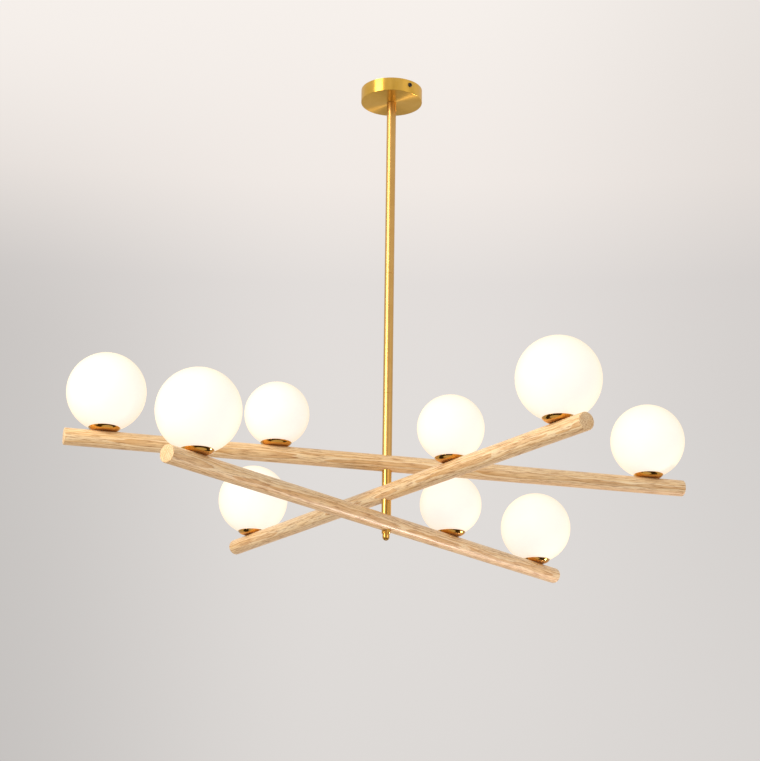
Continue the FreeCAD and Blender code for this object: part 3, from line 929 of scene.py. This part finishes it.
def backdrop():
    """Pale surroundings: what the camera and the shiny surfaces see, and a softer light for the rest."""
    world = bpy.data.worlds.new("studio")
    bpy.context.scene.world = world
    world.use_nodes = True
    tree = world.node_tree
    tree.nodes.clear()
    place = add(tree, "ShaderNodeTexCoord").outputs["Generated"]
    direction = add(tree, "ShaderNodeSeparateXYZ", {"Vector": place})
    # warm grey, brighter from below upwards
    tone = add(tree, "ShaderNodeValToRGB", {
        "stops": ((0.0, "#D8D4D1"), (0.09, "#DDD9D6"), (0.25, "#E1DDDA"), (0.34, "#E3DEDB"),
                  (0.39, "#F1EAE5"), (0.48, "#F7F1EC")),
        "Fac": direction.outputs["Z"],
    })
    # the room falls off to both sides, most at the lower left and hardly at the upper left
    left_loss = side_loss(tree, direction, side=-1, lower_end=0.30, upper_end=0.46,
                          loss_below=0.24, loss_above=0.0)
    right_loss = side_loss(tree, direction, side=1, lower_end=0.08, upper_end=0.30,
                           loss_below=0.06, loss_above=0.14)
    loss = add(tree, "ShaderNodeMath", {"operation": "ADD", 0: left_loss, 1: right_loss})
    left_over = add(tree, "ShaderNodeMapRange", {
        "To Min": 1.0,
        "To Max": 0.0,
        "Value": loss.outputs["Value"],
    })
    shown = add(tree, "ShaderNodeVectorMath", {
        "operation": "SCALE",
        0: tone.outputs["Color"],
        "Scale": left_over.outputs["Result"],
    })
    picture = add(tree, "ShaderNodeBackground", {"Strength": 1.0, "Color": shown.outputs["Vector"]})
    light = add(tree, "ShaderNodeBackground", {"Strength": 0.66, "Color": linear("#F2EEEA")})
    # the camera, reflections and glass see the picture
    ray = add(tree, "ShaderNodeLightPath")
    seen_or_mirrored = add(tree, "ShaderNodeMath", {
        "operation": "MAXIMUM",
        0: ray.outputs["Is Camera Ray"],
        1: ray.outputs["Is Glossy Ray"],
    })
    seen = add(tree, "ShaderNodeMath", {
        "operation": "MAXIMUM",
        0: seen_or_mirrored.outputs["Value"],
        1: ray.outputs["Is Transmission Ray"],
    })
    mix = add(tree, "ShaderNodeMixShader", {
        "Fac": seen.outputs["Value"],
        1: light.outputs["Background"],
        2: picture.outputs["Background"],
    })
    add(tree, "ShaderNodeOutputWorld", {"Surface": mix.outputs["Shader"]})


def only_reflected(card):
    """Makes a card dark, and seen only in the polished brass."""
    material, tree = new_material(card.name)
    shader = add(tree, "ShaderNodeBsdfPrincipled", {"Base Color": linear("#2A2018"), "Roughness": 0.9})
    add(tree, "ShaderNodeOutputMaterial", {"Surface": shader.outputs["BSDF"]})
    card.data.materials.append(material)
    card.visible_camera = False
    card.visible_diffuse = False
    card.visible_shadow = False


def ring_card():
    """A wide dark ring, level, below the light."""
    drop = 1.55
    thickness = 0.01
    inner = 0.8
    outer = 1.9
    bottom = cad_low.z - drop
    top = bottom + thickness
    ring = turned("ring_card", [(inner, bottom), (outer, bottom), (outer, top), (inner, top)])
    only_reflected(ring)


def strip_card():
    """An upright dark strip behind the camera."""
    width = 0.7
    strip = add_primitive("strip_card", bpy.ops.mesh.primitive_plane_add, size=1,
                          location=(0.3, -3.4, 0.1), rotation=(pi / 2, 0, 0))
    strip.scale = (width, 1.0, 1.0)
    settle(strip)
    only_reflected(strip)


def soft_light(name, place, target, size, power, colour):
    """An area lamp that the camera doesn't see, turned to its target."""
    data = bpy.data.lights.new(name, "AREA")
    data.shape = "RECTANGLE"
    data.size, data.size_y = size
    data.energy = power
    data.color = linear(colour)[:3]
    lamp = bpy.data.objects.new(name, data)
    bpy.context.collection.objects.link(lamp)
    lamp.location = place
    lamp.visible_camera = False
    lamp.rotation_euler = (Vector(target) - Vector(place)).to_track_quat("-Z", "Y").to_euler()


pale_floor()
backdrop()
ring_card()
strip_card()
soft_light("key", place=(-1.9, -1.7, 0.15), target=hub, size=(1.2, 1.7), power=56, colour="#FFF4E4")
soft_light("fill", place=(2.6, -2.0, -0.9), target=hub, size=(1.4, 1.4), power=12, colour="#FFF6EE")
soft_light("low_back", place=(1.6, 1.25, -2.1), target=stem_middle, size=(0.22, 0.22), power=24,
           colour="#FFE9E2")


# ---- camera, as fitted to the photograph ----

picture_height = 761
focal_length_in_pixels = 1876.4
sensor_size = 36.0
camera_place = (0.0, -2.8248, -1.3613)
camera_tilt = 106.947
camera_roll = -0.780
camera_heading = 0.017


def photo_camera():
    data = bpy.data.cameras.new("camera")
    data.sensor_width = sensor_size
    data.lens = focal_length_in_pixels * sensor_size / picture_height
    camera = bpy.data.objects.new("camera", data)
    bpy.context.collection.objects.link(camera)
    camera.location = camera_place
    camera.rotation_euler = (radians(camera_tilt), radians(camera_roll), radians(camera_heading))
    bpy.context.scene.camera = camera


photo_camera()
bpy.context.scene.view_settings.view_transform = "Standard"
